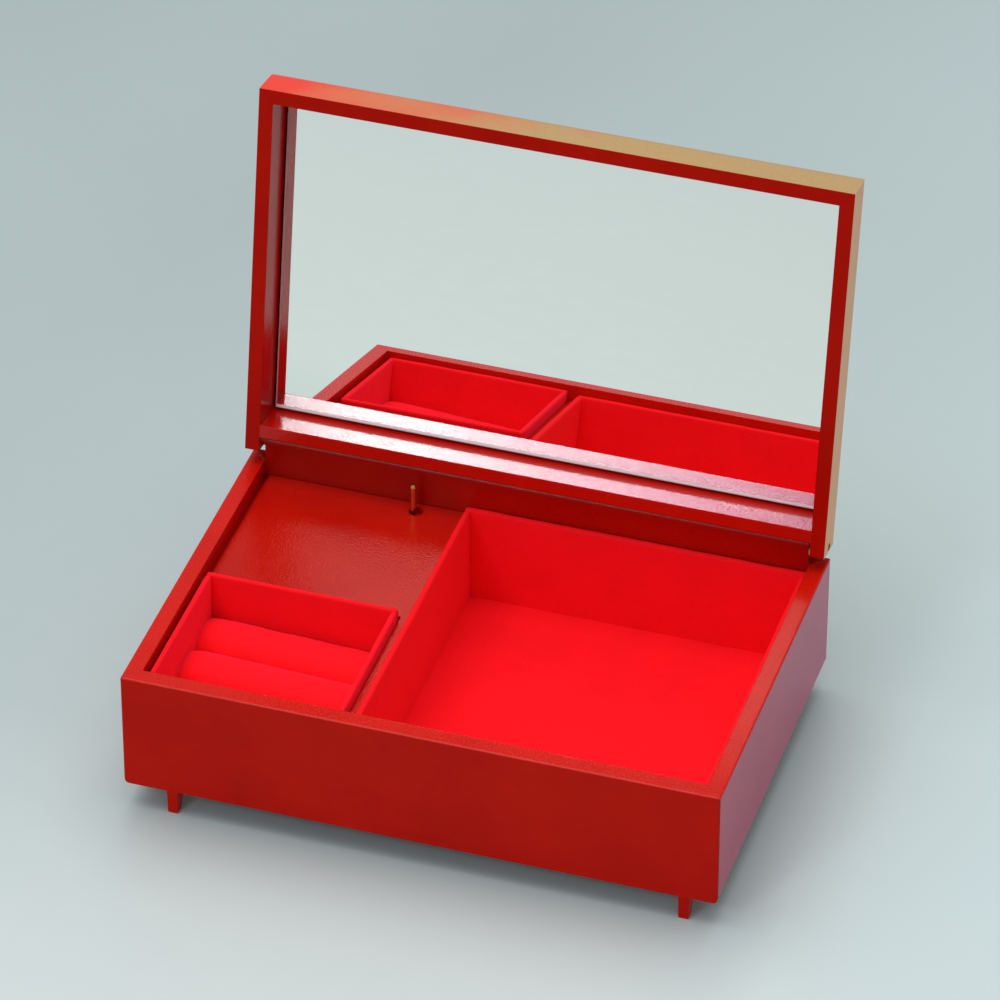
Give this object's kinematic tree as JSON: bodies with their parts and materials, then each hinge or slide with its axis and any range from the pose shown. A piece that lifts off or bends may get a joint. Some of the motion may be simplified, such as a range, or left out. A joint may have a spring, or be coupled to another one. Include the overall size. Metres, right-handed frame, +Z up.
{
  "type": "musical vanity box",
  "caption": "Lacquered wooden vanity box on small feet with a deep mirror lid, felt-lined compartments, a drop-in ring tray and a wound musical movement with a stop pin",
  "frame": {"origin": "on the ground plane under the feet, centred under the bounding box of the open vanity box", "axes": "X runs from the left side to the right side, Y from the front to the back, Z up"},
  "size_m": [0.2, 0.16, 0.1881],
  "materials": {
    "case_lacquer": "red lacquer, high gloss with fine orange peel",
    "gold_lacquer": "gold-toned lacquer, high gloss",
    "bare_wood": "plain sanded softwood",
    "red_felt": "short red flock felt",
    "silvered_glass": "flat silvered glass with a ground edge",
    "brass": "polished",
    "steel": "fine brushed",
    "cast_plate": "die-cast, lightly satin"
  },
  "bodies": {
    "case": {"front_wall": "case_lacquer", "back_wall": "case_lacquer", "left_wall": "case_lacquer", "right_wall": "case_lacquer", "bottom_board": "bare_wood", "foot_front_left": "case_lacquer", "foot_front_right": "case_lacquer", "foot_back_left": "case_lacquer", "foot_back_right": "case_lacquer", "long_divider": "bare_wood", "cross_wall": "bare_wood", "deck": "case_lacquer", "left_cleat": "case_lacquer", "back_cleat": "bare_wood", "tray_ledges": "bare_wood", "lining_floor": "red_felt", "lining_front": "red_felt", "lining_back": "red_felt", "lining_left": "red_felt", "lining_right": "red_felt", "bedplate": "cast_plate", "bedplate_screws": "steel", "barrel_bridge": "cast_plate", "governor_frame": "cast_plate", "music_comb": "steel", "comb_screws": "brass", "idler_axle": "steel", "lever_pivot": "brass"},
    "lid": {"lid_left_rail": "gold_lacquer", "lid_right_rail": "gold_lacquer", "lid_front_rail": "gold_lacquer", "lid_hinge_rail": "case_lacquer", "lid_top": "gold_lacquer", "mirror": "silvered_glass", "hinge_pin_left": "brass", "hinge_pin_right": "brass"},
    "ring_tray": {"tray_base": "red_felt", "tray_front": "red_felt", "tray_back": "red_felt", "tray_left": "red_felt", "tray_right": "red_felt", "ring_roll_front": "red_felt", "ring_roll_middle": "red_felt", "ring_roll_back": "red_felt"},
    "barrel": {"spring_barrel": "brass", "mainspring": "steel"},
    "winder": {"winding_arbor": "steel", "winding_key": "brass"},
    "cylinder": {"pinned_cylinder": "brass", "cylinder_arbor": "steel"},
    "idler": {"idler_wheel": "brass"},
    "governor": {"governor_worm": "steel", "governor_fan": "steel"},
    "stop_pin": {"stop_pin": "brass"},
    "stop_lever": {"stop_lever": "steel"}
  },
  "joints": [
    {"name": "lid_hinge", "type": "hinge", "parent": "case", "child": "lid", "pos_m": [0, 0.04738, 0.0591], "axis": [-1, 0, 0], "range_deg": [-99.9, 0]},
    {"name": "ring_tray_lift", "type": "slide", "parent": "case", "child": "ring_tray", "axis": [0, 0, 1], "range_m": [0, 0.015]},
    {"name": "winding_turn", "type": "hinge", "parent": "case", "child": "winder", "pos_m": [-0.078, 0.01303, 0.0092], "axis": [0, 0, 1], "continuous": true},
    {"name": "barrel_turn", "type": "hinge", "parent": "case", "child": "barrel", "pos_m": [-0.078, 0.01303, 0.0139], "axis": [0, 0, 1], "continuous": true},
    {"name": "cylinder_turn", "type": "hinge", "parent": "case", "child": "cylinder", "pos_m": [-0.0665, 0.01303, 0.02545], "axis": [1, 0, 0], "continuous": true},
    {"name": "idler_turn", "type": "hinge", "parent": "case", "child": "idler", "pos_m": [-0.0436, 0.02303, 0.02545], "axis": [1, 0, 0], "continuous": true},
    {"name": "governor_turn", "type": "hinge", "parent": "case", "child": "governor", "pos_m": [-0.0436, 0.02893, 0.02545], "axis": [0, 0, 1], "continuous": true},
    {"name": "stop_pin_slide", "type": "slide", "parent": "case", "child": "stop_pin", "axis": [0, 0, 1], "range_m": [-0.0056, 0]},
    {"name": "stop_lever_turn", "type": "hinge", "parent": "case", "child": "stop_lever", "pos_m": [-0.0398, 0.02003, 0.0205], "axis": [1, 0, 0], "range_deg": [-16.7, 0]}
  ],
  "couplings": [
    {"joint": "barrel_turn", "follows": "cylinder_turn", "ratio": 0.33333},
    {"joint": "idler_turn", "follows": "cylinder_turn", "ratio": -4},
    {"joint": "governor_turn", "follows": "cylinder_turn", "ratio": 96},
    {"joint": "stop_pin_slide", "follows": "lid_hinge", "m_per_rad": 0.003154},
    {"joint": "stop_lever_turn", "follows": "lid_hinge", "ratio": 0.16517}
  ]
}
